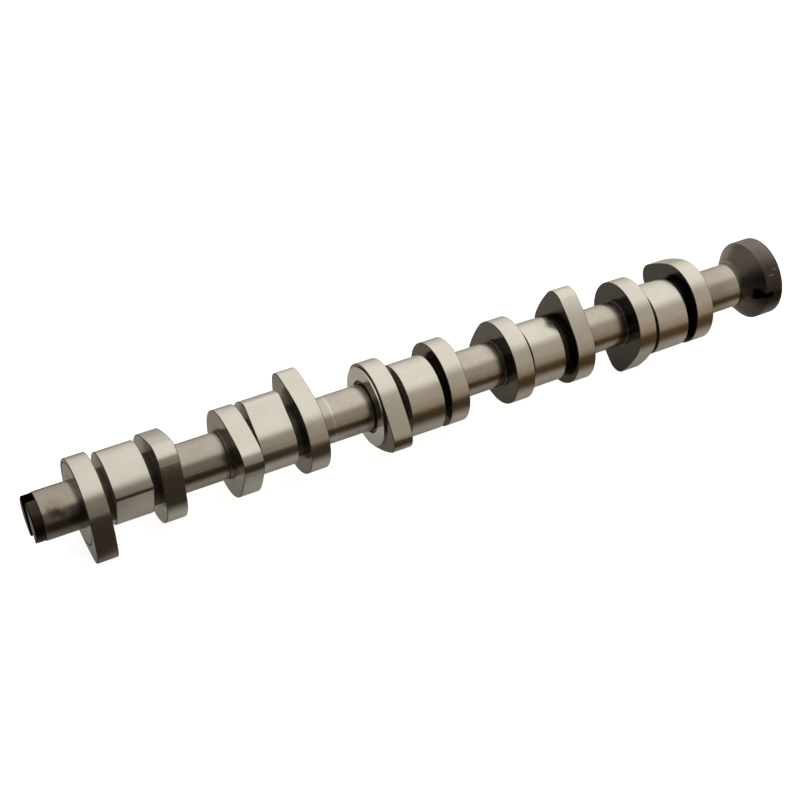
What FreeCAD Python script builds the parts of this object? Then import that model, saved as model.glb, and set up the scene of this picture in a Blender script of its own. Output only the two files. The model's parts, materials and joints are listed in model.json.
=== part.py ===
# A one-piece camshaft for an in-line engine with five cylinders, in millimetres.
# Each cylinder has three cams: a valve cam, a wide cam that drives the unit
# injector, and a second valve cam. The shaft is built along X, from the slotted
# nose to the flared end that carries the gear, and is then laid down the way it
# comes to rest on a table.
import FreeCAD, Part
import math
import os

V = FreeCAD.Vector
AXIS = V(1, 0, 0)

# spacing along the shaft
bore_pitch = 88.0        # from one cylinder to the next
first_cam = 21.75        # left side of the first cam
turned_round = 3.5       # from cylinder 3 on, the valve cams change places
firing_order = (1, 2, 4, 5, 3)

# round parts
journal_r = 14.25
neck_r = 14.9            # short shoulder between a journal and the next cam
core_r = 15.2            # floor of the grooves between the cams of a cylinder
shoulder = 1.6           # length of that shoulder
line_w, line_d = 0.7, 0.35     # fine relief groove at the end of a journal

# valve cams
cam_w = 12.3
base_r = 26.3
nose_r = 10.4            # radius of the nose of the lobe
flank_r = 105.0          # large arc between base circle and nose
lift_a, lift_b = 9.2, 8.9
angle_a, angle_b = 45.8, 150.4     # the two lobes, when the cylinder's phase is 0

# injector cam: slow rise over half a turn, short dwell, steep straight fall
inj_w = 22.3
gap = 4.25
inj_base_r = 18.3
inj_top_r = 26.2
inj_tip_r = 4.5
rise_from = 214.0        # where the rise leaves the base circle, in degrees
fall_at = 122.0          # where the flat flank meets the base circle
edge = 0.4               # chamfer on the edges of every cam

# thrust face in front of cylinder 3 and the ring turned in the first cam
thrust_r, thrust_h = 24.6, 1.4
undercut_r, undercut_d = 16.4, 1.2
ring_r, ring_w, ring_d = 24.6, 0.9, 0.4

# slotted nose
nose_len, nose_end_r = 6.05, 13.8
slot_w, slot_angle = 11.4, 70.5

# flared end
neck_len = 32.0          # up to the corner where the flare starts, before its fillet
flare_len = 10.6
flare_fillet = 6.0
rim_len = 12.8
rim_r = 25.25
rim_round = 1.5          # rounding between the flare and the rim
rim_edge = 1.2
mouth_r, seat_r, floor_r = 20.5, 19.6, 18.3
seat_depth, floor_depth = 5.2, 6.5
bolt_r, bolt_depth = 5.1, 30.0
pocket_w, pocket_at, pocket_len = 7.4, 4.4, 3.2
pocket_slope = 2.0       # slanted corner between the pocket and the key slot
pocket_floor_r = 15.0    # how near to the axis the slot and its pocket are cut
key_w, key_len, key_off = 3.6, 7.8, 0.8
key_angle = 170.0

# how it lies: rolled and pitched on to three of its lobes
rest_roll, rest_pitch = 2.28, -1.21

group_w = 2 * cam_w + 2 * gap + inj_w


def polar(r, deg, centre=(0.0, 0.0)):
    t = math.radians(deg)
    return (centre[0] + r * math.cos(t), centre[1] + r * math.sin(t))


def arc(centre, r, a, b):
    """An arc, as three points, from angle a to angle b."""
    return [polar(r, a, centre), polar(r, (a + b) / 2.0, centre), polar(r, b, centre)]


def turned(points):
    """A solid of revolution about X from points (x, radius). A third value in a
    point rounds that corner of the outline."""
    edges, start, last = [], None, None
    for i, p in enumerate(points):
        here = V(p[0], 0, p[1])
        into, out = here, here
        if len(p) == 3:
            before, after = points[i - 1], points[(i + 1) % len(points)]
            u = (V(before[0], 0, before[1]) - here).normalize()
            w = (V(after[0], 0, after[1]) - here).normalize()
            half = u.getAngle(w) / 2
            into, out = here + u * (p[2] / math.tan(half)), here + w * (p[2] / math.tan(half))
            middle = here + (u + w).normalize() * (p[2] / math.sin(half) - p[2])
        if last is None:
            start = into
        else:
            edges.append(Part.LineSegment(last, into).toShape())
        if len(p) == 3:
            edges.append(Part.Arc(into, middle, out).toShape())
        last = out
    edges.append(Part.LineSegment(last, start).toShape())
    return Part.Face(Part.Wire(edges)).revolve(V(0, 0, 0), AXIS, 360)


def washer(x, length, r_out, r_in):
    return turned([(x, r_in), (x, r_out), (x + length, r_out), (x + length, r_in)])


def prism(curves, x, width, angle):
    """Curves drawn round the axis, with each side edge chamfered, as one cam."""
    edges = [c.toShape() for c in curves]
    solid = Part.Face(Part.Wire(edges)).extrude(V(width, 0, 0))
    rims = [e for e in solid.Edges if e.BoundBox.XLength < 0.01]
    solid = solid.makeChamfer(edge, rims)
    solid.rotate(V(0, 0, 0), AXIS, angle)
    solid.translate(V(x, 0, 0))
    return solid


def curve(three):
    return Part.Arc(*[V(0, y, z) for y, z in three])


def valve_cam(x, lift, angle):
    """Base circle, two flank arcs and a nose arc, each tangent to the next."""
    reach = base_r + lift - nose_r
    a, b = flank_r - base_r, flank_r - nose_r
    fx = (a * a - b * b + reach * reach) / (2 * reach)
    fy = math.sqrt(a * a - fx * fx)
    at_nose = math.degrees(math.atan2(fy, reach - fx))
    at_base = math.degrees(math.atan2(fy, -fx))
    curves = [
        curve(arc((reach, 0), nose_r, -at_nose, at_nose)),
        curve(arc((fx, -fy), flank_r, at_nose, at_base)),
        curve(arc((0, 0), base_r, at_base, 360 - at_base)),
        curve(arc((fx, fy), flank_r, -at_base, -at_nose)),
    ]
    return prism(curves, x, cam_w, angle)


def injector_cam(x, angle):
    """Base circle, eccentric rise, dwell, rounded tip and a flat, steep flank."""
    rise_r = (inj_base_r + inj_top_r) / 2.0
    rise_centre = polar(inj_top_r - rise_r, rise_from + 180)
    tip = inj_top_r - inj_tip_r
    tip_at = fall_at - math.degrees(math.acos((inj_base_r - inj_tip_r) / tip))
    tip_centre = polar(tip, tip_at)
    brow = polar(inj_tip_r, fall_at, tip_centre)
    foot = polar(inj_base_r, fall_at)
    curves = [
        curve(arc((0, 0), inj_base_r, fall_at, rise_from)),
        curve(arc(rise_centre, rise_r, rise_from, rise_from + 180)),
        curve(arc((0, 0), inj_top_r, rise_from - 180, tip_at)),
        curve(arc(tip_centre, inj_tip_r, tip_at, fall_at)),
        Part.LineSegment(V(0, *brow), V(0, *foot)),
    ]
    return prism(curves, x, inj_w, angle)


def group_start(cylinder):
    moved = turned_round if cylinder >= 3 else 0.0
    return first_cam + bore_pitch * (cylinder - 1) + moved


# The turned shaft, from the nose to the rim of the flared end.
last = group_start(5) + group_w
flare_x = last + neck_len
rim_x = flare_x + flare_len
end_x = rim_x + rim_len
outline = [(-nose_len, 0), (-nose_len, nose_end_r - 0.8), (0.8 - nose_len, nose_end_r),
           (0, nose_end_r), (0, journal_r - 0.3), (0.3, journal_r)]
for cylinder in (1, 2, 3, 4, 5):
    x = group_start(cylinder)
    if cylinder in (2, 4, 5):
        a, b = x - shoulder - line_w, x - shoulder
        outline += [(a, journal_r), (a, journal_r - line_d), (b, journal_r - line_d), (b, neck_r)]
        outline += [(x + 1, neck_r), (x + 1, core_r)]
    else:
        outline += [(x + 1, journal_r), (x + 1, core_r)]
    outline += [(x + group_w - 1, core_r), (x + group_w - 1, journal_r)]
outline += [(flare_x, journal_r, flare_fillet), (rim_x, rim_r, rim_round),
            (end_x - rim_edge, rim_r), (end_x, rim_r - rim_edge), (end_x, 0)]
shaft = turned(outline)

# The cams. The lobes of the cylinders follow each other in the firing order.
cams = []
for cylinder in (1, 2, 3, 4, 5):
    x = group_start(cylinder)
    phase = 72.0 * (1 - firing_order.index(cylinder))
    lobe_a, lobe_b = (lift_a, angle_a + phase), (lift_b, angle_b + phase)
    left, right = (lobe_b, lobe_a) if cylinder < 3 else (lobe_a, lobe_b)
    cams.append(valve_cam(x, *left))
    cams.append(injector_cam(x + cam_w + gap, phase))
    cams.append(valve_cam(x + group_w - cam_w, *right))
body = shaft.fuse(cams)

# Turned details: thrust face with its undercut, and the ring in the first cam.
x = group_start(3)
body = body.fuse(washer(x - thrust_h, thrust_h + 2, thrust_r, journal_r - 2))
body = body.cut(washer(x - thrust_h, undercut_d, undercut_r, journal_r))
body = body.cut(washer(group_start(1), ring_d, ring_r, ring_r - ring_w))

# Slot across the nose, for the pump that the shaft drives.
slot = Part.makeBox(nose_len, 4 * journal_r, slot_w, V(-nose_len, -2 * journal_r, -slot_w / 2))
slot.rotate(V(0, 0, 0), AXIS, slot_angle)
body = body.cut(slot)

# Hollow of the flared end: tapered seat, floor and bolt hole.
inner = [(end_x, 0), (end_x, mouth_r + 0.8), (end_x - 0.8, mouth_r),
         (end_x - seat_depth, seat_r), (end_x - floor_depth, floor_r),
         (end_x - floor_depth, bolt_r + 1.2), (end_x - floor_depth - 1.2, bolt_r),
         (end_x - floor_depth - bolt_depth, bolt_r),
         (end_x - floor_depth - bolt_depth - 0.55 * bolt_r, 0)]
body = body.cut(turned(inner))

# The slot in the rim with its wider pocket in the flare.
reach = rim_r + 2 - pocket_floor_r
x0 = flare_x + pocket_at
x1 = x0 + pocket_len
x2 = x1 + key_len
low, high = key_off - key_w / 2, key_off + key_w / 2
around = [(x0, -pocket_w / 2), (x1, -pocket_w / 2), (x1 + pocket_slope, low), (x2, low),
          (x2, high), (x1, high), (x1, pocket_w / 2), (x0, pocket_w / 2)]
around = [V(x, pocket_floor_r, z) for x, z in around]
cutter = Part.Face(Part.makePolygon(around + around[:1])).extrude(V(0, reach, 0))
cutter.rotate(V(0, 0, 0), AXIS, key_angle)
body = body.cut(cutter)

# Lay it down, with its lowest point at height 0 and the box's middle at X = Y = 0.
body = body.removeSplitter()
body.rotate(V(0, 0, 0), AXIS, rest_roll)
body.rotate(V(0, 0, 0), V(0, 1, 0), rest_pitch)
box = body.optimalBoundingBox()
body.translate(V(-(box.XMin + box.XMax) / 2, -(box.YMin + box.YMax) / 2, -box.ZMin))

solid = body.Solids[0]
os.makedirs("parts", exist_ok=True)
solid.exportStep("parts/camshaft.step")
print("solids", len(body.Solids), "valid", solid.isValid(), "volume", round(solid.Volume))
print("box", [round(v, 2) for v in (box.XLength, box.YLength, box.ZLength)])
print("moved by", -(box.XMin + box.XMax) / 2, -(box.YMin + box.YMax) / 2, -box.ZMin)
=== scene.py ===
# %% [markdown]
# # A ground camshaft on a white table
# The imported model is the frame: it says where the shaft lies and how large it is.
# Everything that shows is built round it here, in the same place and to the same
# sizes, but with finer surfaces, because ground steel shows every flat facet.

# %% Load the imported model
import json
import math
import bpy
from mathutils import Matrix, Vector


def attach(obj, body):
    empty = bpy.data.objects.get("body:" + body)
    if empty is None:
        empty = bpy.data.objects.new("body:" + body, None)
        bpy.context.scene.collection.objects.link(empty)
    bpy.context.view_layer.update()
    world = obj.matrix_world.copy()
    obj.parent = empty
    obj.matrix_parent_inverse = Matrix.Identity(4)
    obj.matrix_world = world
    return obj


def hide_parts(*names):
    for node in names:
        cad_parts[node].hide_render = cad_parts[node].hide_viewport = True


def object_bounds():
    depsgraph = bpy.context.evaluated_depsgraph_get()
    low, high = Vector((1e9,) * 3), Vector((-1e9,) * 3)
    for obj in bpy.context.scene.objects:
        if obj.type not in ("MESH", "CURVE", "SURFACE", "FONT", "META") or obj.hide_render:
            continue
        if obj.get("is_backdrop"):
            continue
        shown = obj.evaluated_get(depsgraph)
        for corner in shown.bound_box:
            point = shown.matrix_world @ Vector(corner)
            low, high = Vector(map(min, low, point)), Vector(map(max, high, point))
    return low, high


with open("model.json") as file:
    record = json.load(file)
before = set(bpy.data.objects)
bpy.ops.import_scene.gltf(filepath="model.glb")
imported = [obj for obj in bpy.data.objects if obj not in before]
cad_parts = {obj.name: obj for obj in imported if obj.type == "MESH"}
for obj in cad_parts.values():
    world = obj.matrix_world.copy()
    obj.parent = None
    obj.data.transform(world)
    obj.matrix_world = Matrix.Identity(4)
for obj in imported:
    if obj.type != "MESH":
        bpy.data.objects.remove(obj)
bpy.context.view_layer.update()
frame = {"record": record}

# %% [markdown]
# ## From the lathe to the table
# A shaft is easiest to describe along its own axis: a station in millimetres from
# the step behind the nose, a radius, and an angle round the axis. On the table it
# lies rolled and pitched on to three of its lobes. One matrix carries it there. It
# is read from the mount on the end journal, whose centre is at station 11, so that
# no place is typed in twice.

# %% The matrix from shaft to table
MM = 0.001
REST_ROLL, REST_PITCH = 2.28, -1.21
END_JOURNAL_AT = 11.0

lay_down = (Matrix.Rotation(math.radians(REST_PITCH), 4, "Y")
            @ Matrix.Rotation(math.radians(REST_ROLL), 4, "X"))
mounts = {m["name"]: m for m in frame["record"]["mounts"]}
seen_at = Vector(mounts["end_journal"]["pos_m"])
start = seen_at - lay_down @ Vector((END_JOURNAL_AT * MM, 0, 0))
TO_TABLE = Matrix.Translation(start) @ lay_down
print("station 0 is at, mm:", [round(v / MM, 2) for v in start])

# %% [markdown]
# ## The sizes
# These are the sizes of the model's source, in millimetres: first the spacing
# along the shaft, then the round parts, then the two kinds of cam.

# %% Sizes along the shaft
CYLINDERS = (1, 2, 3, 4, 5)
FIRING_ORDER = (1, 2, 4, 5, 3)
BORE_PITCH, FIRST_CAM, TURNED_ROUND = 88.0, 21.75, 3.5
CAM_W, INJECTOR_W, GAP = 12.3, 22.3, 4.25
GROUP_W = 2 * CAM_W + 2 * GAP + INJECTOR_W
NOSE_LEN, NECK_LEN, FLARE_LEN, RIM_LEN = 6.05, 32.0, 10.6, 12.8


def group_start(cylinder):
    """Station of the first cam of a cylinder."""
    return FIRST_CAM + BORE_PITCH * (cylinder - 1) + (TURNED_ROUND if cylinder >= 3 else 0)


FLARE_X = group_start(5) + GROUP_W + NECK_LEN
RIM_X = FLARE_X + FLARE_LEN
END_X = RIM_X + RIM_LEN
print("flare at", FLARE_X, "rim at", RIM_X, "end at", END_X)

# %% Sizes of the round parts
JOURNAL_R, NECK_R, CORE_R, NOSE_R = 14.25, 14.9, 15.2, 13.8
SHOULDER, LINE_W, LINE_D = 1.6, 0.7, 0.35
THRUST_R, THRUST_H, UNDERCUT_R, UNDERCUT_D = 24.6, 1.4, 16.4, 1.2
RING_R, RING_W, RING_D = 24.6, 0.9, 0.4
RIM_R, RIM_EDGE, RIM_ROUND, FLARE_FILLET = 25.25, 1.2, 1.5, 6.0
MOUTH_R, SEAT_R, FLOOR_R, BOLT_R = 20.5, 19.6, 18.3, 5.1
SEAT_DEPTH, FLOOR_DEPTH, BOLT_DEPTH = 5.2, 6.5, 30.0

# %% Sizes of the cams
BASE_R, NOSE_ARC, FLANK_R = 26.3, 10.4, 105.0
LIFT_A, LIFT_B, ANGLE_A, ANGLE_B = 9.2, 8.9, 45.8, 150.4
INJ_BASE_R, INJ_TOP_R, INJ_TIP_R, RISE_FROM, FALL_AT = 18.3, 26.2, 4.5, 214.0, 122.0
EDGE = 0.4

# %% [markdown]
# ## Round corners in an outline
# No edge on a real turned part is a knife edge: each one has a small chamfer or
# radius, and that is the thin line of light along it. The outline of the shaft is
# a list of points, and a third number in a point is the radius of that corner.
# The helper below puts a short arc there, with one more point just before and
# after it. Without those, smooth shading would bend the light on the whole
# journal towards its ends.

# %% A helper that rounds corners
SUPPORT = 0.1


def rounded(points, steps=5):
    """The outline with an arc of a few steps at each corner that has a radius."""
    out = []
    for i, p in enumerate(points):
        here = Vector(p[:2])
        if len(p) < 3:
            out.append((here.x, here.y))
            continue
        u = (Vector(points[i - 1][:2]) - here).normalized()
        w = (Vector(points[(i + 1) % len(points)][:2]) - here).normalized()
        half = u.angle(w) / 2
        middle = here + (u + w).normalized() * (p[2] / math.sin(half))
        a, b = here + u * (p[2] / math.tan(half)), here + w * (p[2] / math.tan(half))
        turn = (a - middle).angle_signed(b - middle)
        out.append(tuple(a + u * SUPPORT))
        for k in range(steps + 1):
            spin = Matrix.Rotation(-turn * k / steps, 2)
            q = middle + spin @ (a - middle)
            out.append((q.x, q.y))
        out.append(tuple(b + w * SUPPORT))
    return out


print("a square with one round corner:", len(rounded([(0, 0), (1, 0), (1, 1, 0.2), (0, 1)])))

# %% [markdown]
# ## Turning a mesh
# A lathe makes a solid of revolution, and so does this helper: each point of the
# outline becomes a ring of vertices, and neighbouring rings are joined by quads.
# Points on the axis become single poles. Edges sharper than 30 degrees are marked
# sharp, and all else is shaded smooth, so that cylinders look round and shoulders
# stay crisp.

# %% A helper that finishes a mesh
SHARP = math.radians(30)


def add_piece(name, verts, faces):
    """A mesh from points in shaft millimetres, smooth but for its sharp edges."""
    mesh = bpy.data.meshes.new(name)
    mesh.from_pydata([TO_TABLE @ (Vector(v) * MM) for v in verts], [], faces)
    mesh.update()
    piece = bpy.data.objects.new(name, mesh)
    bpy.context.scene.collection.objects.link(piece)
    return piece


def shade(piece):
    """Smooth shading, but for the edges sharper than the limit."""
    piece.data.polygons.foreach_set("use_smooth", [True] * len(piece.data.polygons))
    piece.data.set_sharp_from_angle(angle=SHARP)
    piece.data.update()


# %% A helper that turns an outline
def turned(name, outline, steps=216):
    """A closed solid of revolution about the shaft's axis."""
    verts, rings, faces = [], [], []
    for x, r in outline:
        if r < 1e-6:
            rings.append([len(verts)])
            verts.append((x, 0, 0))
            continue
        rings.append(list(range(len(verts), len(verts) + steps)))
        for k in range(steps):
            t = 2 * math.pi * k / steps
            verts.append((x, r * math.cos(t), r * math.sin(t)))
    for a, b in zip(rings, rings[1:]):
        for k in range(steps):
            n = (k + 1) % steps
            if len(a) == 1:
                faces.append((a[0], b[n], b[k]))
            elif len(b) == 1:
                faces.append((a[k], a[n], b[0]))
            else:
                faces.append((a[k], a[n], b[n], b[k]))
    return add_piece(name, verts, faces)


# %% [markdown]
# ## The shaft
# The outline runs from the nose along the outside to the rim, and then back inside
# the hollow of the flared end: a tapered seat for the gear, a floor and a bolt
# hole. Between the cams of a cylinder the shaft drops to its core. In front of
# cylinder 3 stands the thrust face, a turned disc with an undercut round the
# journal.

# %% Outline of the shaft
outline = [(-NOSE_LEN, 0), (-NOSE_LEN, NOSE_R, 0.8), (0, NOSE_R), (0, JOURNAL_R, 0.25)]
for cylinder in CYLINDERS:
    x = group_start(cylinder)
    if cylinder in (2, 4, 5):
        a, b = x - SHOULDER - LINE_W, x - SHOULDER
        outline += [(a, JOURNAL_R, 0.1), (a, JOURNAL_R - LINE_D), (b, JOURNAL_R - LINE_D),
                    (b, NECK_R, 0.15), (x + 1, NECK_R)]
    elif cylinder == 3:
        a, b = x - THRUST_H, x - THRUST_H + UNDERCUT_D
        outline += [(b, JOURNAL_R, 0.15), (b, UNDERCUT_R, 0.15), (a, UNDERCUT_R, 0.2),
                    (a, THRUST_R, 0.3), (x + 1, THRUST_R)]
    else:
        outline += [(x + 1, JOURNAL_R)]
    outline += [(x + 1, CORE_R), (x + GROUP_W - 1, CORE_R), (x + GROUP_W - 1, JOURNAL_R)]
outline += [(FLARE_X, JOURNAL_R, FLARE_FILLET), (RIM_X, RIM_R, RIM_ROUND),
            (END_X, RIM_R, RIM_EDGE), (END_X, MOUTH_R + 0.4, 0.4),
            (END_X - SEAT_DEPTH, SEAT_R), (END_X - FLOOR_DEPTH, FLOOR_R),
            (END_X - FLOOR_DEPTH, BOLT_R + 1), (END_X - FLOOR_DEPTH - 1, BOLT_R),
            (END_X - FLOOR_DEPTH - BOLT_DEPTH, BOLT_R),
            (END_X - FLOOR_DEPTH - BOLT_DEPTH - 3, 0)]
smooth_outline = rounded(outline)
shaft = turned("shaft", smooth_outline)
print("shaft:", len(smooth_outline), "rings,", len(shaft.data.polygons), "faces")

# %% [markdown]
# ## Milled slots
# Two cuts aren't round: the slot across the nose, which the pump's tang fits, and
# the slot in the flare with its wider pocket. A mill cuts them, so here a Boolean
# modifier does: each cutter is a plain prism that is turned to its angle, used
# once and thrown away.

# %% A helper that mills
SLOT_W, SLOT_ANGLE = 11.4, 70.5
POCKET_W, POCKET_AT, POCKET_LEN, POCKET_SLOPE = 7.4, 4.4, 3.2, 2.0
KEY_W, KEY_LEN, KEY_OFF, KEY_ANGLE = 3.6, 7.8, 0.8, 170.0
POCKET_FLOOR_R = 15.0


def mill(piece, corners, low, high, angle):
    """Cuts a prism out of a piece: corners (x, across), from low to high outwards."""
    spin = Matrix.Rotation(math.radians(angle), 4, "X")
    verts = [spin @ Vector((x, reach, z)) for reach in (low, high) for x, z in corners]
    n = len(corners)
    faces = [tuple(range(n)), tuple(range(2 * n - 1, n - 1, -1))]
    faces += [(k, k + n, (k + 1) % n + n, (k + 1) % n) for k in range(n)]
    cutter = add_piece("cutter", verts, faces)
    cut = piece.modifiers.new("mill", "BOOLEAN")
    cut.operation, cut.solver, cut.object = "DIFFERENCE", "EXACT", cutter
    bpy.context.view_layer.update()
    graph = bpy.context.evaluated_depsgraph_get()
    mesh = bpy.data.meshes.new_from_object(piece.evaluated_get(graph))
    piece.modifiers.clear()
    piece.data = mesh
    bpy.data.objects.remove(cutter)


# %% Mill the nose and the flare
SHORT = 0.01               # the slot stops just short of the step behind the nose
half = SLOT_W / 2
mill(shaft, [(-2 * NOSE_LEN, -half), (-SHORT, -half), (-SHORT, half), (-2 * NOSE_LEN, half)],
     -2 * JOURNAL_R, 2 * JOURNAL_R, SLOT_ANGLE)
x0 = FLARE_X + POCKET_AT
x1, x2 = x0 + POCKET_LEN, x0 + POCKET_LEN + KEY_LEN
low, high = KEY_OFF - KEY_W / 2, KEY_OFF + KEY_W / 2
mill(shaft, [(x0, -POCKET_W / 2), (x1, -POCKET_W / 2), (x1 + POCKET_SLOPE, low), (x2, low),
             (x2, high), (x1, high), (x1, POCKET_W / 2), (x0, POCKET_W / 2)],
     POCKET_FLOOR_R, RIM_R + 2, KEY_ANGLE)
shade(shaft)
print("milled shaft:", len(shaft.data.polygons), "faces")

# %% [markdown]
# ## The outline of a cam
# A cam's outline is a few arcs, each tangent to the next, so its curve has no
# corner. A helper walks round the arcs and keeps, for each point, the direction
# that is square to the outline. That direction is needed for the rounded edges.

# %% Walk round the arcs of a cam
def unit(deg):
    """A direction across the axis, by its angle."""
    return Vector((math.cos(math.radians(deg)), math.sin(math.radians(deg))))


def walk(arcs, step=1.6):
    """Points and outward directions along arcs (centre, radius, from, to)."""
    points, normals = [], []
    for centre, r, a, b in arcs:
        n = max(4, math.ceil(abs(b - a) / step))
        for k in range(n):
            d = unit(a + (b - a) * k / n)
            points.append(Vector(centre) + d * r)
            normals.append(d)
    return points, normals


# %% [markdown]
# A valve cam is a base circle, on which the valve stays shut, two long flanks and
# a nose. The injector cam is another kind of curve: an eccentric arc lifts the
# pump's plunger slowly over half a turn, a dwell holds it, and a flat flank lets
# it snap back. A flat is walked as a row of points that share one direction.

# %% The two outlines
FLAT_STEPS = 12


def valve_outline(lift, angle):
    """Base circle, two flanks and a nose, turned to the lobe's angle."""
    reach = BASE_R + lift - NOSE_ARC
    a, b = FLANK_R - BASE_R, FLANK_R - NOSE_ARC
    fx = (a * a - b * b + reach * reach) / (2 * reach)
    fy = math.sqrt(a * a - fx * fx)
    at_nose = math.degrees(math.atan2(fy, reach - fx))
    at_base = math.degrees(math.atan2(fy, -fx))
    return turned_by(walk([((reach, 0), NOSE_ARC, -at_nose, at_nose),
                           ((fx, -fy), FLANK_R, at_nose, at_base),
                           ((0, 0), BASE_R, at_base, 360 - at_base),
                           ((fx, fy), FLANK_R, -at_base, -at_nose)]), angle)


def injector_outline(angle):
    """Base circle, slow rise, dwell, rounded tip and a flat flank."""
    rise_r = (INJ_BASE_R + INJ_TOP_R) / 2
    rise_centre = unit(RISE_FROM + 180) * (INJ_TOP_R - rise_r)
    tip = INJ_TOP_R - INJ_TIP_R
    tip_at = FALL_AT - math.degrees(math.acos((INJ_BASE_R - INJ_TIP_R) / tip))
    points, normals = walk([((0, 0), INJ_BASE_R, FALL_AT, RISE_FROM),
                            (rise_centre, rise_r, RISE_FROM, RISE_FROM + 180),
                            ((0, 0), INJ_TOP_R, RISE_FROM - 180, tip_at),
                            (unit(tip_at) * tip, INJ_TIP_R, tip_at, FALL_AT)])
    brow = unit(tip_at) * tip + unit(FALL_AT) * INJ_TIP_R
    foot = unit(FALL_AT) * INJ_BASE_R
    for k in range(FLAT_STEPS):
        points.append(brow.lerp(foot, k / FLAT_STEPS))
        normals.append(unit(FALL_AT))
    return turned_by((points, normals), angle)


def turned_by(traced, angle):
    """The same points and directions, turned round the shaft's axis."""
    spin = Matrix.Rotation(math.radians(angle), 2)
    return [spin @ p for p in traced[0]], [spin @ n for n in traced[1]]


# %% [markdown]
# ## A cam as a mesh
# The cam is a stack of loops: out from the core along the left side, round the
# edge in small steps, across the running surface, and back down the right side.
# An extra loop just inside each edge keeps the shading of the large flat faces
# flat. The innermost loops lie inside the core of the shaft, where they don't
# show. Only the first cam has the fine ring that was turned in its left side.

# %% A helper that builds a cam
EDGE_STEPS = 4
HIDDEN = 1.0
ON_FACE, ON_RIM = 0.12, 0.15     # from the edge to the extra loops
RING_WALL = 0.05                 # slope of the ring's walls


def cam(name, traced, x, width, ring=False):
    """A cam from its outline, between the stations x and x + width."""
    points, normals = traced

    def inset(d):
        return [p - n * d for p, n in zip(points, normals)]

    def circle(r):
        return [p.normalized() * r for p in points]

    root = [(0, circle(CORE_R - HIDDEN))]
    groove = [(0, circle(RING_R - RING_W)), (RING_D, circle(RING_R - RING_W + RING_WALL)),
              (RING_D, circle(RING_R - RING_WALL)), (0, circle(RING_R))] if ring else []
    edge = [(0, inset(EDGE + ON_FACE))]
    for k in reversed(range(EDGE_STEPS + 1)):
        a = math.pi / 2 * k / EDGE_STEPS
        edge.append((EDGE * (1 - math.sin(a)), inset(EDGE * (1 - math.cos(a)))))
    edge.append((EDGE + ON_RIM, inset(0)))
    loops = [(x + dx, loop) for dx, loop in root + groove + edge]
    loops += [(x + width - dx, loop) for dx, loop in reversed(root + edge)]
    verts = [(at, p.x, p.y) for at, loop in loops for p in loop]
    n, m = len(points), len(loops)
    faces = []
    for i in range(m):
        a, b = i * n, (i + 1) % m * n
        faces += [(a + k, a + (k + 1) % n, b + (k + 1) % n, b + k) for k in range(n)]
    piece = add_piece(name, verts, faces)
    shade(piece)
    return piece


# %% Build the fifteen cams
cams = []
for cylinder in CYLINDERS:
    x = group_start(cylinder)
    phase = 72 * (1 - FIRING_ORDER.index(cylinder))
    lobes = [(LIFT_B, ANGLE_B + phase), (LIFT_A, ANGLE_A + phase)]
    if cylinder >= 3:
        lobes.reverse()
    cams.append(cam(f"valve_cam_{cylinder}_front", valve_outline(*lobes[0]), x, CAM_W,
                    ring=cylinder == 1))
    cams.append(cam(f"injector_cam_{cylinder}", injector_outline(phase), x + CAM_W + GAP,
                    INJECTOR_W))
    cams.append(cam(f"valve_cam_{cylinder}_rear", valve_outline(*lobes[1]),
                    x + GROUP_W - CAM_W, CAM_W))
print(len(cams), "cams,", sum(len(c.data.polygons) for c in cams), "faces")

# %% [markdown]
# ## Fine lines from the grinding wheel
# Ground steel isn't a mirror. The wheel leaves very fine rings round the axis,
# which spread the light along the shaft and make it look silky. Noise that is
# squeezed along the axis and hardly changes round it gives just such rings. Many
# finishes use them, so they are a node group, which is built once. The helpers
# below keep the building of nodes short.

# %% Helpers for groups and nodes
def new_group(name, inputs, outputs):
    """An empty node group, with the nodes of its inputs and outputs."""
    tree = bpy.data.node_groups.new(name, "ShaderNodeTree")
    for label, value in inputs:
        socket = tree.interface.new_socket(label, in_out="INPUT", socket_type="NodeSocketFloat")
        socket.default_value = value
    for label, kind in outputs:
        tree.interface.new_socket(label, in_out="OUTPUT", socket_type=kind)
    return tree, tree.nodes.new("NodeGroupInput"), tree.nodes.new("NodeGroupOutput")


def use_group(tree, group, **values):
    """A group placed in a tree, with its inputs set by name."""
    made = tree.nodes.new("ShaderNodeGroup")
    made.node_tree = group
    for label, value in values.items():
        made.inputs[label.replace("_", " ")].default_value = value
    return made


def node(tree, kind, links=(), **values):
    """A node with its values set and its inputs linked: links are (socket, source)."""
    made = tree.nodes.new(kind)
    for key, value in values.items():
        if key.startswith("in_"):
            made.inputs[int(key[3:])].default_value = value
        else:
            setattr(made, key, value)
    for socket, source in links:
        tree.links.new(source, made.inputs[socket])
    return made


# %% Helpers for sums and colours
def math_node(tree, operation, a, b=0.0):
    """One step of arithmetic on numbers or sockets."""
    made = tree.nodes.new("ShaderNodeMath")
    made.operation = operation
    for i, v in enumerate((a, b)):
        if isinstance(v, (int, float)):
            made.inputs[i].default_value = v
        else:
            tree.links.new(v, made.inputs[i])
    return made.outputs[0]


def product(tree, *factors):
    """All the factors multiplied together."""
    made = factors[0]
    for factor in factors[1:]:
        made = math_node(tree, "MULTIPLY", made, factor)
    return made


def ramp(tree, value, start, stop, low, high, kind="LINEAR"):
    """Low before start, high after stop, and a ramp between them."""
    made = node(tree, "ShaderNodeMapRange", [(0, value)], interpolation_type=kind)
    for label, number in (("From Min", start), ("From Max", stop), ("To Min", low),
                          ("To Max", high)):
        made.inputs[label].default_value = number
    return made.outputs[0]


def tinted(tree, value, colour):
    """A colour that is as strong as the value."""
    made = node(tree, "ShaderNodeVectorMath", [("Scale", value)], operation="SCALE")
    made.inputs[0].default_value = colour
    return made.outputs[0]


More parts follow.
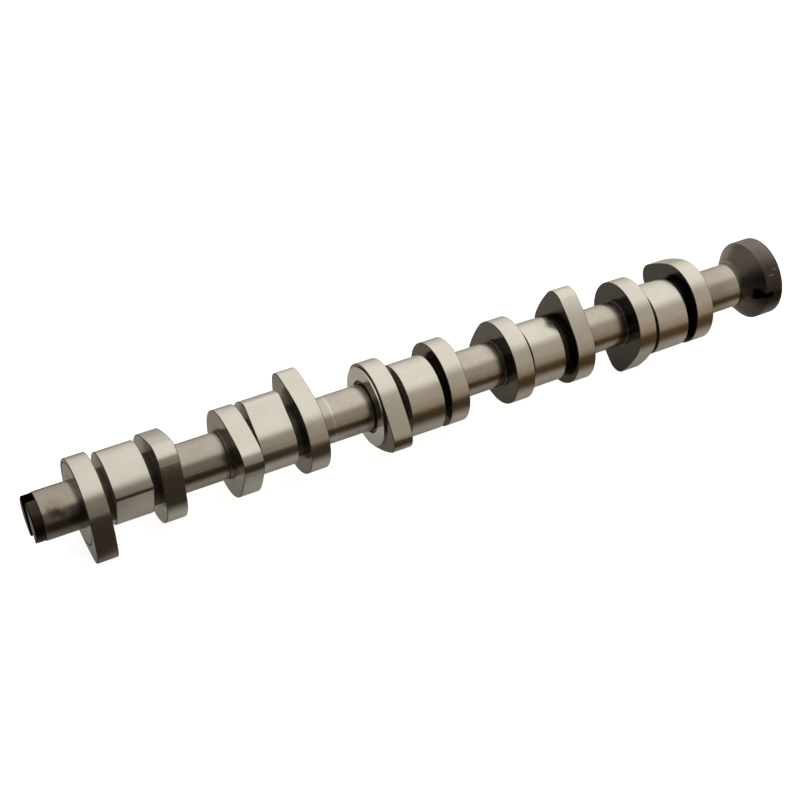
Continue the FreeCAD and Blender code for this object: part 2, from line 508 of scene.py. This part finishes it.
def blend(tree, factor, a, b):
    """Colour a where the factor is 0, and colour b where it is 1."""
    made = node(tree, "ShaderNodeMix", [(0, factor)], data_type="RGBA")
    for socket, colour in ((6, a), (7, b)):
        if isinstance(colour, tuple):
            made.inputs[socket].default_value = (*colour, 1)
        else:
            tree.links.new(colour, made.inputs[socket])
    return made.outputs[2]


# %% [markdown]
# Every pattern below follows the shaft, not the table: rings run round the axis,
# and some finishes start at a station. The first group undoes the lay-down matrix,
# so a material can ask for the station, for the two distances across the axis, and
# for the radius, all in millimetres.

# %% Group: place on the shaft
PLACE_VALUES = ("Station", "Back", "Up", "Radius")
place_tree, g_in, g_out = new_group(
    "shaft_place", [], [(label, "NodeSocketFloat") for label in PLACE_VALUES])
local = node(place_tree, "ShaderNodeMapping", [
    (0, node(place_tree, "ShaderNodeTexCoord").outputs["Object"])], vector_type="TEXTURE")
local.inputs["Location"].default_value = TO_TABLE.translation
local.inputs["Rotation"].default_value = TO_TABLE.to_euler()
in_mm = node(place_tree, "ShaderNodeVectorMath", [(0, local.outputs[0])], operation="SCALE")
in_mm.inputs["Scale"].default_value = 1 / MM
xyz = node(place_tree, "ShaderNodeSeparateXYZ", [(0, in_mm.outputs[0])])
flat = node(place_tree, "ShaderNodeCombineXYZ", [(1, xyz.outputs[1]), (2, xyz.outputs[2])])
radius = node(place_tree, "ShaderNodeVectorMath", [(0, flat.outputs[0])], operation="LENGTH")
for k, found in enumerate((*xyz.outputs, radius.outputs["Value"])):
    place_tree.links.new(found, g_out.inputs[k])
print("group", place_tree.name, "has", len(place_tree.nodes), "nodes")


# %% A helper that asks for the point on the shaft
def on_shaft(tree, along=1.0, across=1.0):
    """The point of the shaft that is shaded, with its values scaled, as a vector."""
    place = use_group(tree, place_tree)
    return node(tree, "ShaderNodeCombineXYZ", [
        (0, product(tree, place.outputs["Station"], along)),
        (1, product(tree, place.outputs["Back"], across)),
        (2, product(tree, place.outputs["Up"], across))]).outputs[0]


# %% Group: rings left by the wheel
WHEEL_MARK = 0.05 * MM     # the deepest line that the wheel leaves
rings_tree, g_in, g_out = new_group(
    "wheel_rings", [("Lines per mm", 2.5), ("Depth", 0.10), ("Round", 0.006)],
    [("Value", "NodeSocketFloat"), ("Normal", "NodeSocketVector")])
rings = node(rings_tree, "ShaderNodeTexNoise", [
    ("Vector", on_shaft(rings_tree, g_in.outputs["Lines per mm"], g_in.outputs["Round"]))])
rings.inputs["Scale"].default_value = 1.0
rings.inputs["Detail"].default_value = 4.0
bump = node(rings_tree, "ShaderNodeBump", [("Height", rings.outputs[0]),
                                           ("Strength", g_in.outputs["Depth"])])
bump.inputs["Distance"].default_value = WHEEL_MARK
rings_tree.links.new(rings.outputs[0], g_out.inputs["Value"])
rings_tree.links.new(bump.outputs[0], g_out.inputs["Normal"])
print("group", rings_tree.name, "has", len(rings_tree.nodes), "nodes")

# %% [markdown]
# ## Soft patches
# Oil film, finger marks and old heat leave large, faint patches on steel. Two
# sizes of noise are mixed for them, and each finish sets its own strength.

# %% Group: soft patches
patch_tree, g_in, g_out = new_group(
    "soft_patches", [("Size", 0.06), ("Fine size", 0.42), ("Low", 0.35), ("High", 0.65)],
    [("Mask", "NodeSocketFloat")])
here = on_shaft(patch_tree)
large = node(patch_tree, "ShaderNodeTexNoise", [("Vector", here),
                                                ("Scale", g_in.outputs["Size"])])
large.inputs["Detail"].default_value = 3.0
fine = node(patch_tree, "ShaderNodeTexNoise", [("Vector", here),
                                               ("Scale", g_in.outputs["Fine size"])])
fine.inputs["Detail"].default_value = 5.0
both = math_node(patch_tree, "ADD", product(patch_tree, large.outputs[0], 0.7),
                 product(patch_tree, fine.outputs[0], 0.3))
spread = node(patch_tree, "ShaderNodeMapRange", [("Value", both),
                                                 ("From Min", g_in.outputs["Low"]),
                                                 ("From Max", g_in.outputs["High"])])
patch_tree.links.new(spread.outputs[0], g_out.inputs["Mask"])
print("group", patch_tree.name, "has", len(patch_tree.nodes), "nodes")

# %% [markdown]
# ## A helper for metal finishes
# Every finish here is metal: its base colour is the colour of its reflection. The
# helper joins the two groups to a Principled shader: the patches mix two colours
# and two roughnesses, and the rings give the normal.

# %% A helper that makes a finish
GRAZING_TINT = (0.72, 0.71, 0.69, 1)


def metal(name, colours, rough, lines=2.5, depth=0.10, patches=0.06, spread=(0.35, 0.65),
          metallic=1.0):
    """A metal whose two colours and two roughnesses are mixed by soft patches."""
    made = bpy.data.materials.new(name)
    made.use_nodes = True
    tree = made.node_tree
    shader = tree.nodes["Principled BSDF"]
    shader.inputs["Metallic"].default_value = metallic
    shader.inputs["Specular Tint"].default_value = GRAZING_TINT
    ring = use_group(tree, rings_tree, Lines_per_mm=lines, Depth=depth)
    patch = use_group(tree, patch_tree, Size=patches, Low=spread[0], High=spread[1])
    tree.links.new(blend(tree, patch.outputs["Mask"], *colours), shader.inputs["Base Color"])
    grain = math_node(tree, "ADD", product(tree, patch.outputs["Mask"], 0.6),
                      product(tree, ring.outputs["Value"], 0.4))
    tree.links.new(ramp(tree, grain, 0.0, 1.0, *rough), shader.inputs["Roughness"])
    tree.links.new(ring.outputs["Normal"], shader.inputs["Normal"])
    return made


# %% [markdown]
# ## Stains and painted light with a place
# Some marks belong to one spot: the straw and brown temper colours on the end journal,
# a blue-black spot next to cam 1 that is a painted reflection of the cam's dark side,
# a narrow bright ring on the third journal, and two scratches on the rim. The same
# helpers paint shade and a highlight on the flared end. One group makes a soft,
# slightly ragged spot round a point of the shaft, which can be long, and another a
# band round the shaft at a station.

# %% Group: a tinted spot
spot_tree, g_in, g_out = new_group(
    "stain_spot", [("Size", 6.0), ("Ragged", 3.0), ("Long", 1.0)],
    [("Mask", "NodeSocketFloat")])
spot_tree.interface.new_socket("Centre", in_out="INPUT", socket_type="NodeSocketVector")
here = on_shaft(spot_tree)
apart = node(spot_tree, "ShaderNodeVectorMath", [(0, here), (1, g_in.outputs["Centre"])],
             operation="SUBTRACT")
stretch = node(spot_tree, "ShaderNodeCombineXYZ", [(0, g_in.outputs["Long"])],
               in_1=1.0, in_2=1.0)
shrunk = node(spot_tree, "ShaderNodeVectorMath",
              [(0, apart.outputs[0]), (1, stretch.outputs[0])], operation="DIVIDE")
away = node(spot_tree, "ShaderNodeVectorMath", [(0, shrunk.outputs[0])], operation="LENGTH")
cloud = node(spot_tree, "ShaderNodeTexNoise", [("Vector", here)])
cloud.inputs["Scale"].default_value = 0.35
cloud.inputs["Detail"].default_value = 3.0
shift = product(spot_tree, math_node(spot_tree, "SUBTRACT", cloud.outputs[0], 0.5),
                g_in.outputs["Ragged"])
reach = math_node(spot_tree, "ADD", away.outputs["Value"], shift)
reach = math_node(spot_tree, "DIVIDE", reach, g_in.outputs["Size"])
spot_tree.links.new(ramp(spot_tree, reach, 0.15, 1.0, 1.0, 0.0, "SMOOTHSTEP"),
                    g_out.inputs["Mask"])

# %% Group: a band at a station
band_tree, g_in, g_out = new_group("band_at", [("Station", 0.0), ("Half width", 0.3)],
                                   [("Mask", "NodeSocketFloat")])
place = use_group(band_tree, place_tree)
away = math_node(band_tree, "ABSOLUTE", math_node(
    band_tree, "SUBTRACT", place.outputs["Station"], g_in.outputs["Station"]))
reach = math_node(band_tree, "DIVIDE", away, g_in.outputs["Half width"])
band_tree.links.new(ramp(band_tree, reach, 0.5, 1.0, 1.0, 0.0, "SMOOTHSTEP"),
                    g_out.inputs["Mask"])
print("groups:", [g.name for g in bpy.data.node_groups])


# %% Helpers that lay a tint over a finish
def lay_over(material, mask, colour, strength):
    """Mixes a colour over what feeds the base colour, where the mask is white."""
    tree = material.node_tree
    base = tree.nodes["Principled BSDF"].inputs["Base Color"]
    over = blend(tree, product(tree, mask, strength), base.links[0].from_socket, colour)
    tree.links.new(over, base)


def stain(material, size, x, deg, r, colour, strength, **shape):
    """Stain and painted shade alike: a tint round a point at a station, angle and radius."""
    spot = use_group(material.node_tree, spot_tree, Size=size,
                     Centre=(x, *(unit(deg) * r)), **shape)
    lay_over(material, spot.outputs["Mask"], colour, strength)


def band_of_tint_and_light(material, x, half_width, colour, strength):
    """A tint all the way round the shaft at a station, for stains and painted light."""
    band = use_group(material.node_tree, band_tree, Station=x, Half_width=half_width)
    lay_over(material, band.outputs["Mask"], colour, strength)


# %% [markdown]
# ## The finishes
# The journals are ground and a little stained, so they are darker than the cams,
# whose running faces are polished by their rollers. Three journals are darker and
# browner along a wide band. The thrust face is the brightest.

# %% Ground faces
BRIGHT_RING_AT = 174.4
journal_steel = metal("journal_steel", ((0.435, 0.39, 0.325), (0.51, 0.465, 0.395)),
                      (0.20, 0.27))
for x, half_width, strength in ((8.0, 15.0, 0.38), (108.0, 48.0, 0.16), (430.0, 30.0, 0.22)):
    band_of_tint_and_light(journal_steel, x, half_width, (0.10, 0.075, 0.045), strength)
for size, x, deg, colour, strength in (
        (8.0, 7.5, 132.0, (0.22, 0.16, 0.08), 0.5),         # straw
        (3.2, 4.6, 134.0, (0.07, 0.055, 0.03), 0.4),        # brown
        (4.2, 7.8, 140.0, (0.05, 0.038, 0.02), 0.65),
        (3.6, 10.5, 150.0, (0.06, 0.045, 0.03), 0.6),
        # blue-black next to cam 1: a painted reflection of the cam's dark side
        (9.5, 19.0, 160.0, (0.05, 0.05, 0.058), 0.8)):      # blue
    stain(journal_steel, size, x, deg, JOURNAL_R, colour, strength)
band_of_tint_and_light(journal_steel, BRIGHT_RING_AT, 0.9, (0.70, 0.67, 0.61), 0.5)
cam_steel = metal("cam_steel", ((0.585, 0.55, 0.475), (0.645, 0.605, 0.53)), (0.20, 0.26))
thrust_steel = metal("thrust_face", ((0.64, 0.595, 0.52), (0.70, 0.655, 0.57)), (0.16, 0.22))

# %% [markdown]
# The sides of the cams were turned. Painted shade darkens them from the nose end
# towards the flared end, for the darker surroundings that they mirror there, and
# next to the shaft, for the dark journal that they mirror. The sides in the gaps, and
# those that face the flared end, get less of the shade along the shaft.


# %% Sides of the cams
def cam_side(name, shade_strength, metallic):
    """Turned steel with painted shade along the shaft and next to it."""
    made = metal(name, ((0.60, 0.56, 0.49), (0.68, 0.635, 0.56)), (0.15, 0.22),
                 metallic=metallic)
    tree = made.node_tree
    place = use_group(tree, place_tree)
    # painted shade: the sides darken from the nose end to the flared end, for the darker
    # surroundings that they mirror there
    shade_along_shaft = ramp(tree, place.outputs["Station"], 50.0, 245.0, 0.0, 1.0)
    lay_over(made, math_node(tree, "POWER", shade_along_shaft, 0.8), (0.125, 0.110, 0.093),
             shade_strength)
    deeper_shade_at_flare = ramp(tree, place.outputs["Station"], 290.0, 380.0, 0.0, 1.0)
    lay_over(made, deeper_shade_at_flare, (0.078, 0.067, 0.056), shade_strength)
    # painted shade: darker next to the shaft, for the dark journal that the side mirrors there
    shade_by_the_shaft = ramp(tree, place.outputs["Radius"], 15.5, 19.0, 1.0, 0.0, "SMOOTHSTEP")
    lay_over(made, shade_by_the_shaft, (0.06, 0.05, 0.042), 0.35)
    return made


side_steel = cam_side("cam_side_steel", 1.0, 1.0)
gap_steel = cam_side("gap_side_steel", 0.35, 0.8)

# %% [markdown]
# The bottoms of the gaps and the flared end have never been ground and are nearly
# black. The skin of the flare starts with a crisp edge, with painted shade in the
# fillet there. A painted highlight runs along the rounded corner of the rim, painted
# shade darkens the front and the lower side of the rim round the key slot, and the
# rim has two scratches.

# %% Gaps and ends
FILLET_SHADE_AT = 462.6
RIM_SHADE = (0.05, 0.042, 0.035)
dark_skin_and_shade = metal("dark_core_and_shade", ((0.12, 0.10, 0.083), (0.19, 0.16, 0.133)), (0.36, 0.50),
                   metallic=0.7)
flare_steel = metal("black_flare", ((0.25, 0.212, 0.175), (0.36, 0.31, 0.26)), (0.30, 0.40))
rim_steel = metal("rim_skin", ((0.165, 0.145, 0.12), (0.215, 0.19, 0.16)), (0.26, 0.34))
for dark_end, size, deg in ((flare_steel, 27.0, 168.0), (rim_steel, 38.0, 150.0)):
    # painted highlight along the rounded corner of the rim
    band_of_tint_and_light(dark_end, RIM_X, 0.8, (0.36, 0.33, 0.28), 0.35)
    # painted shade on the front and the lower side of the rim, round the key slot
    stain(dark_end, size, RIM_X, deg, RIM_R, RIM_SHADE, 0.84)
    stain(dark_end, 26.0, RIM_X, 225.0, RIM_R, RIM_SHADE, 0.75)
# painted shade in the fillet where the neck runs into the flare
band_of_tint_and_light(flare_steel, FILLET_SHADE_AT, 2.8, (0.06, 0.05, 0.042), 0.72)
for x, deg in ((483.6, 135.7), (480.4, 142.8)):
    stain(rim_steel, 0.55, x, deg, RIM_R, (0.50, 0.46, 0.40), 0.45, Long=6.0, Ragged=0.3)
nose_steel = metal("browned_nose", ((0.036, 0.028, 0.02), (0.07, 0.056, 0.042)), (0.26, 0.36))
print("finishes:", [m.name for m in bpy.data.materials])

# %% [markdown]
# The shaft is one mesh, so each face is given its finish by its station and its
# distance from the axis. The fine grooves and the undercut at the thrust face get
# the dark finish too, as painted shade in these recesses.

# %% Put the finishes on the shaft
SHAFT_FINISHES = (journal_steel, dark_skin_and_shade, flare_steel, nose_steel, thrust_steel, rim_steel)
BLACK_FROM = 462.3
NEAR = 0.01                      # a face that lies at a station may be off by this much
to_shaft = TO_TABLE.inverted()


def shaft_finish(x, r):
    """The finish of the shaft's surface at a station and a radius."""
    for c in CYLINDERS:
        start_x = group_start(c)
        # the undercut's recess gets the dark finish as painted shade
        if c == 3 and start_x - THRUST_H - NEAR <= x <= start_x + 0.5:
            return dark_skin_and_shade if r < UNDERCUT_R + 0.05 else thrust_steel
        if start_x < x < start_x + GROUP_W:
            return dark_skin_and_shade
        # the fine groove's floor gets the dark finish as painted shade
        if c in (2, 4, 5) and start_x - SHOULDER - LINE_W <= x < start_x - SHOULDER + NEAR:
            return dark_skin_and_shade if r < NECK_R - 0.1 else journal_steel
    if x > RIM_X and r > RIM_R - 1.5:
        return rim_steel
    return flare_steel if x > BLACK_FROM else nose_steel if x < 2 * NEAR else journal_steel


shaft.data.materials.clear()
for m in SHAFT_FINISHES:
    shaft.data.materials.append(m)
for p in shaft.data.polygons:
    c = to_shaft @ p.center / MM
    p.material_index = SHAFT_FINISHES.index(shaft_finish(c.x, math.hypot(c.y, c.z)))
print("faces of each finish:", {m.name: sum(
    p.material_index == k for p in shaft.data.polygons) for k, m in enumerate(SHAFT_FINISHES)})

# %% [markdown]
# The faces of a cam are told apart by the way they look: outwards, along the shaft,
# or in between, which is the rounded edge. The edges get the dark finish as a painted
# dark line along them, and the fine ring gets it as painted shade in its groove.

# %% Put the finishes on the cams
CAM_FINISHES = (cam_steel, side_steel, dark_skin_and_shade, gap_steel)


def cam_finish(piece, at, facing):
    """The finish of a cam's face: running face, left side, edge, or side in a gap."""
    r = math.hypot(at.y, at.z)
    in_ring = piece is cams[0] and RING_R - RING_W <= r <= RING_R and at.x < FIRST_CAM + 1
    # the rounded edges get a painted dark line, and the ring's groove gets painted shade
    if in_ring or 0.1 < abs(facing.x) < 0.99:
        return dark_skin_and_shade
    if abs(facing.x) <= 0.1:
        return cam_steel
    return gap_steel if facing.x > 0 or piece.name.startswith("injector") else side_steel


for c in cams:
    c.data.materials.clear()
    for m in CAM_FINISHES:
        c.data.materials.append(m)
    for p in c.data.polygons:
        found = cam_finish(c, to_shaft @ p.center / MM, to_shaft.to_3x3() @ p.normal)
        p.material_index = CAM_FINISHES.index(found)

# %% [markdown]
# ## The pieces ride on one body and replace the model's node
# Shaft and cams are one piece of steel in the model, so they replace the same
# node together, and they ride on the one body.

# %% Riding and replacing
for piece in [shaft] + cams:
    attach(piece, "root")
    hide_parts("camshaft")

# %% [markdown]
# ## The light
# Ground metal is a picture of what stands round it, so the surroundings are built
# as carefully as the steel. The studio is a dome of light, painted by direction in
# the world's nodes. The angle used here runs in degrees from the back horizon over
# the top to the front. Sideways is 0 across the shaft, and grows towards its flared
# end: seen from the nose end, journals and cams mirror what has a sideways of 0.1
# at the nose to 0.6 at the flare.

# %% Directions of the dome
world = bpy.data.worlds.new("studio")
bpy.context.scene.world = world
world.use_nodes = True
sky = world.node_tree
toward = node(sky, "ShaderNodeSeparateXYZ", [
    (0, node(sky, "ShaderNodeTexCoord").outputs["Generated"])])
sideways, back, up = toward.outputs
angle = product(sky, math_node(sky, "ARCTAN2", up, back), 180 / math.pi)

# %% [markdown]
# A very large soft box reaches from behind the shaft to past the top. Its front
# edge slants, and gets softer towards the flared end. The box fades on the left,
# so that the sides of the cams, which mirror that part, stay dark near the
# journals, and it ends on the far right.

# %% The soft box
edge_at = math_node(sky, "SUBTRACT", ramp(sky, sideways, 0.10, 0.55, 137.0, 107.0),
                    ramp(sky, sideways, -0.30, 0.05, 22.0, 0.0))
softness = ramp(sky, sideways, 0.10, 0.55, 8.0, 18.0)
into_box = math_node(sky, "DIVIDE", math_node(sky, "SUBTRACT", edge_at, angle), softness)
left_end = ramp(sky, sideways, -0.20, 0.02, 0.20, 1.0, "SMOOTHSTEP")
right_end = ramp(sky, sideways, 0.66, 0.88, 1.0, 0.0, "SMOOTHSTEP")
box_mask = product(sky, ramp(sky, into_box, -1.0, 1.0, 0.0, 1.0, "SMOOTHSTEP"),
                   left_end, right_end)
box_level = product(sky, ramp(sky, angle, -5.0, 45.0, 0.92, 1.18, "SMOOTHSTEP"),
                    ramp(sky, sideways, 0.15, 0.28, 0.89, 1.0))

# %% [markdown]
# The front of the room is dim, most of all at the nose end, and a little browner
# low down. The camera itself sees plain white in place of the dome.

# %% The room
room_level = product(sky, ramp(sky, sideways, 0.15, 0.36, 0.20, 0.56),
                     ramp(sky, sideways, -0.2, 0.1, 0.2, 1.0),
                     ramp(sky, angle, 160.0, 185.0, 1.0, 0.62, "SMOOTHSTEP"))
brownness = product(sky, ramp(sky, angle, 150.0, 185.0, 0.0, 0.3),
                    ramp(sky, sideways, 0.15, 0.35, 0.4, 1.0))
room = blend(sky, brownness, tinted(sky, room_level, (1.0, 0.92, 0.81)),
             tinted(sky, room_level, (1.0, 0.68, 0.40)))
dome = blend(sky, box_mask, room, tinted(sky, box_level, (1.0, 0.985, 0.96)))
ray = node(sky, "ShaderNodeLightPath")
shown = blend(sky, ray.outputs["Is Camera Ray"], dome, (1.0, 1.0, 1.0))
sky.links.new(shown, sky.nodes["Background"].inputs["Color"])
print("dome:", len(sky.nodes), "nodes")

# %% [markdown]
# ## The table
# The table is matt white paper. What it gets from the dome already makes it pale,
# and a plain glow on top, which the camera sees most of, brings it to white and
# leaves a trace of the shaft's shadow. Mirroring steel sees a part of that glow.


# %% A helper for flat cards
def card(name, x, y, z, material):
    """A level card from x[0] to x[1] and y[0] to y[1], in metres."""
    mesh = bpy.data.meshes.new(name)
    mesh.from_pydata([(x[0], y[0], z), (x[1], y[0], z), (x[1], y[1], z), (x[0], y[1], z)],
                     [], [(0, 1, 2, 3)])
    piece = bpy.data.objects.new(name, mesh)
    bpy.context.scene.collection.objects.link(piece)
    mesh.materials.append(material)
    piece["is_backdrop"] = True
    return piece


def bare_material(name):
    """A material with nothing in its tree but the output."""
    made = bpy.data.materials.new(name)
    made.use_nodes = True
    made.node_tree.nodes.clear()
    return made, made.node_tree, made.node_tree.nodes.new("ShaderNodeOutputMaterial")


# %% The table
CAMERA_GLOW, MIRROR_GLOW = 0.86, 0.20
TABLE_AT = -0.2 * MM
white_paper, tree, out = bare_material("white_paper")
ray = node(tree, "ShaderNodeLightPath")
mirrored = math_node(tree, "MAXIMUM", ray.outputs["Is Glossy Ray"],
                     ray.outputs["Is Transmission Ray"])
strength = math_node(tree, "ADD", product(tree, ray.outputs["Is Camera Ray"], CAMERA_GLOW),
                     product(tree, mirrored, MIRROR_GLOW))
white = node(tree, "ShaderNodeEmission", [("Strength", strength)])
paper = node(tree, "ShaderNodeBsdfDiffuse")
paper.inputs["Color"].default_value = (0.80, 0.785, 0.755, 1)
total = node(tree, "ShaderNodeAddShader", [(0, white.outputs[0]), (1, paper.outputs[0])])
tree.links.new(total.outputs[0], out.inputs["Surface"])
card("table", (-4, 4), (-4, 4), TABLE_AT, white_paper)

# %% [markdown]
# ## Two cards
# Without something dark to mirror, round steel looks flat. So cards lie on the
# table, as they do in a studio, which only reflections see. Each one fades out
# where its edge would show as a hard line in the steel.

# %% A helper for cards that fade
CARD_AT = 0.4 * MM


def fading(name, cover, glow):
    """A card's material: it hides what is under it where the cover is 1."""
    made, tree, out = bare_material(name)
    place = node(tree, "ShaderNodeTexCoord").outputs["Object"]
    x, y, z = node(tree, "ShaderNodeSeparateXYZ", [(0, place)]).outputs
    face = node(tree, "ShaderNodeEmission")
    if callable(glow):
        tree.links.new(glow(tree, x, y), face.inputs["Color"])
    else:
        face.inputs["Color"].default_value = (*glow, 1)
    clear = node(tree, "ShaderNodeBsdfTransparent")
    mixed = node(tree, "ShaderNodeMixShader", [(0, cover(tree, x, y)), (1, clear.outputs[0]),
                                               (2, face.outputs[0])])
    tree.links.new(mixed.outputs[0], out.inputs["Surface"])
    return made


def lay_card(name, x, y, material):
    """A card on the table that only reflections see."""
    flag = card(name, x, y, CARD_AT, material)
    flag.visible_camera = flag.visible_diffuse = flag.visible_shadow = False


# %% [markdown]
# The black card lies in front of the shaft and gives the dark line along the
# lower side of each journal. It is black at the nose end and turns to a dim brown
# towards the flared end. Far from the shaft it has the level of the room, because
# low parts of the steel mirror it there.

# %% The black card
def front_cover(tree, x, y):
    """Covers the table up to a soft edge, which is nearer the shaft at the nose end."""
    nearer = ramp(tree, x, -0.215, -0.18, 0.014, 0.0)
    return ramp(tree, math_node(tree, "SUBTRACT", y, nearer), -0.056, -0.019, 1.0, 0.0,
                "SMOOTHSTEP")


def front_glow(tree, x, y):
    """Black to brown along the shaft, and as dim as the room farther out."""
    close = blend(tree, ramp(tree, x, -0.2, 0.05, 0.0, 1.0),
                  tinted(tree, ramp(tree, x, -0.15, 0.45, 0.042, 0.14), (1.0, 0.78, 0.64)),
                  tinted(tree, ramp(tree, x, -0.15, 0.45, 0.030, 0.14), (1.0, 0.62, 0.32)))
    far_edge = ramp(tree, x, -0.22, 0.02, -0.60, -0.15)
    beyond = ramp(tree, math_node(tree, "SUBTRACT", y, far_edge), -0.06, 0.05, 1.0, 0.0,
                  "SMOOTHSTEP")
    far = tinted(tree, product(tree, beyond, ramp(tree, x, -0.22, 0.02, 0.04, 0.28)),
                 (1.0, 0.86, 0.68))
    return node(tree, "ShaderNodeVectorMath", [(0, close), (1, far)],
                operation="ADD").outputs[0]


lay_card("black_card", (-2, 3), (-3, -0.008),
         fading("graded_black", front_cover, front_glow))


# %% [markdown]
# Behind the nose end the room is darker too: a second card, much paler, takes the
# glare off the steel there.

# %% The pale card
def back_cover(tree, x, y):
    """Strongest behind the nose, gone by the middle, and weaker farther back."""
    return product(tree, ramp(tree, x, -0.22, 0.04, 0.72, 0.0),
                   ramp(tree, y, 0.10, 0.40, 1.0, 0.65))


lay_card("pale_card", (-2, 0.05), (0.032, 3),
         fading("graded_grey", back_cover, (0.3, 0.276, 0.24)))

# %% [markdown]
# ## The camera
# The place and aim of the camera were found from the photograph: it looks down at
# the shaft from its nose end, along its length. They are written in shaft
# coordinates, so the same matrix carries them to the table.

# %% Camera
SHUTTER_AT = (-111.576, -642.648, 610.448)
RIGHT, UP = (0.886884, -0.461991, 0.0), (0.298742, 0.573494, 0.762796)
AHEAD = (0.352405, 0.676512, -0.646639)
lens = bpy.data.cameras.new("camera")
lens.lens, lens.sensor_width, lens.sensor_fit = 71.44, 36.0, "HORIZONTAL"
lens.clip_start, lens.clip_end = 0.01, 20
camera = bpy.data.objects.new("camera", lens)
bpy.context.scene.collection.objects.link(camera)
aim = Matrix((RIGHT, UP, tuple(-v for v in AHEAD))).transposed().to_4x4()
camera.matrix_world = TO_TABLE @ Matrix.Translation(Vector(SHUTTER_AT) * MM) @ aim
bpy.context.scene.camera = camera
bpy.context.scene.view_settings.view_transform = "Standard"
print("camera at, m:", [round(v, 3) for v in camera.matrix_world.translation])

# %% [markdown]
# ## The size of what shows
# The box of all that shows, but the table and the cards, is printed. What shows has to
# stay inside the box of the imported model.

# %% Note the sizes
low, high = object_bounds()
print("visual box, m:", [round(v, 4) for v in high - low])
